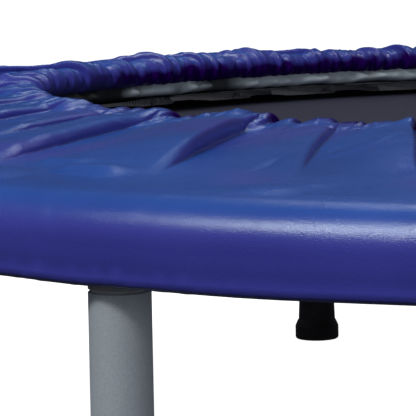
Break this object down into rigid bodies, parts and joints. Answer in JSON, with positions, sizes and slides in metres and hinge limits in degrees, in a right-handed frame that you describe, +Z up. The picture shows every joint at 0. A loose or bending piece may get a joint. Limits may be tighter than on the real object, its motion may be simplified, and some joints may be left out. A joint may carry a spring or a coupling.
{
  "type": "mini trampoline",
  "caption": "Round mini trampoline: black woven mat sprung inside a ring frame on screw-in legs with rubber feet, edged by a gathered glossy blue pad cover.",
  "frame": {"origin": "on the floor, under the centre of the mat and frame ring", "axes": "+Z up along the ring's axis; +X through leg 1, with the legs numbered anticlockwise seen from above at every sixth of a turn"},
  "size_m": [1.2198, 1.22, 0.244],
  "materials": {
    "frame_steel": "satin",
    "leg_powder_coat": "satin",
    "zinc_steel": "satin",
    "foot_rubber": "matte",
    "mat_fabric": "satin",
    "hem_webbing": "matte",
    "foam": "matte",
    "blue_vinyl": "gloss",
    "elastic": "matte"
  },
  "bodies": {
    "frame": {"frame_ring": "frame_steel", "spring_staples": "frame_steel", "leg_boss_1": "frame_steel", "leg_boss_2": "frame_steel", "leg_boss_3": "frame_steel", "leg_boss_4": "frame_steel", "leg_boss_5": "frame_steel", "leg_boss_6": "frame_steel", "springs": "zinc_steel", "foam_pad": "foam", "cover": "blue_vinyl", "inner_elastic": "elastic", "hem_elastic": "elastic"},
    "mat": {"mat": "mat_fabric", "mat_hem": "hem_webbing", "mat_tabs": "hem_webbing", "mat_rings": "zinc_steel"},
    "washer_1": {"leg_washer_1": "zinc_steel"},
    "leg_1": {"leg_tube_1": "leg_powder_coat", "leg_plug_1": "leg_powder_coat", "leg_stud_1": "zinc_steel", "foot_1": "foot_rubber"},
    "washer_2": {"leg_washer_2": "zinc_steel"},
    "leg_2": {"leg_tube_2": "leg_powder_coat", "leg_plug_2": "leg_powder_coat", "leg_stud_2": "zinc_steel", "foot_2": "foot_rubber"},
    "washer_3": {"leg_washer_3": "zinc_steel"},
    "leg_3": {"leg_tube_3": "leg_powder_coat", "leg_plug_3": "leg_powder_coat", "leg_stud_3": "zinc_steel", "foot_3": "foot_rubber"},
    "washer_4": {"leg_washer_4": "zinc_steel"},
    "leg_4": {"leg_tube_4": "leg_powder_coat", "leg_plug_4": "leg_powder_coat", "leg_stud_4": "zinc_steel", "foot_4": "foot_rubber"},
    "washer_5": {"leg_washer_5": "zinc_steel"},
    "leg_5": {"leg_tube_5": "leg_powder_coat", "leg_plug_5": "leg_powder_coat", "leg_stud_5": "zinc_steel", "foot_5": "foot_rubber"},
    "washer_6": {"leg_washer_6": "zinc_steel"},
    "leg_6": {"leg_tube_6": "leg_powder_coat", "leg_plug_6": "leg_powder_coat", "leg_stud_6": "zinc_steel", "foot_6": "foot_rubber"}
  },
  "joints": [
    {"name": "mat_bounce", "type": "slide", "parent": "frame", "child": "mat", "axis": [0, 0, -1], "range_m": [0, 0.08], "stiffness_N_per_m": 11400, "deforming": ["springs"]},
    {"name": "leg_1_advance", "type": "slide", "parent": "frame", "child": "washer_1", "axis": [0, 0, -1], "range_m": [0, 0.018]},
    {"name": "leg_1_turn", "type": "hinge", "parent": "washer_1", "child": "leg_1", "pos_m": [0.59, 0, 0.187], "axis": [0, 0, -1], "range_deg": [0, 4321]},
    {"name": "leg_2_advance", "type": "slide", "parent": "frame", "child": "washer_2", "axis": [0, 0, -1], "range_m": [0, 0.018]},
    {"name": "leg_2_turn", "type": "hinge", "parent": "washer_2", "child": "leg_2", "pos_m": [0.295, 0.51096, 0.187], "axis": [0, 0, -1], "range_deg": [0, 4321]},
    {"name": "leg_3_advance", "type": "slide", "parent": "frame", "child": "washer_3", "axis": [0, 0, -1], "range_m": [0, 0.018]},
    {"name": "leg_3_turn", "type": "hinge", "parent": "washer_3", "child": "leg_3", "pos_m": [-0.295, 0.51096, 0.187], "axis": [0, 0, -1], "range_deg": [0, 4321]},
    {"name": "leg_4_advance", "type": "slide", "parent": "frame", "child": "washer_4", "axis": [0, 0, -1], "range_m": [0, 0.018]},
    {"name": "leg_4_turn", "type": "hinge", "parent": "washer_4", "child": "leg_4", "pos_m": [-0.59, 0, 0.187], "axis": [0, 0, -1], "range_deg": [0, 4321]},
    {"name": "leg_5_advance", "type": "slide", "parent": "frame", "child": "washer_5", "axis": [0, 0, -1], "range_m": [0, 0.018]},
    {"name": "leg_5_turn", "type": "hinge", "parent": "washer_5", "child": "leg_5", "pos_m": [-0.295, -0.51096, 0.187], "axis": [0, 0, -1], "range_deg": [0, 4321]},
    {"name": "leg_6_advance", "type": "slide", "parent": "frame", "child": "washer_6", "axis": [0, 0, -1], "range_m": [0, 0.018]},
    {"name": "leg_6_turn", "type": "hinge", "parent": "washer_6", "child": "leg_6", "pos_m": [0.295, -0.51096, 0.187], "axis": [0, 0, -1], "range_deg": [0, 4321]}
  ],
  "couplings": [
    {"joint": "leg_1_turn", "follows": "leg_1_advance", "rad_per_m": 4188.8},
    {"joint": "leg_2_turn", "follows": "leg_2_advance", "rad_per_m": 4188.8},
    {"joint": "leg_3_turn", "follows": "leg_3_advance", "rad_per_m": 4188.8},
    {"joint": "leg_4_turn", "follows": "leg_4_advance", "rad_per_m": 4188.8},
    {"joint": "leg_5_turn", "follows": "leg_5_advance", "rad_per_m": 4188.8},
    {"joint": "leg_6_turn", "follows": "leg_6_advance", "rad_per_m": 4188.8}
  ]
}
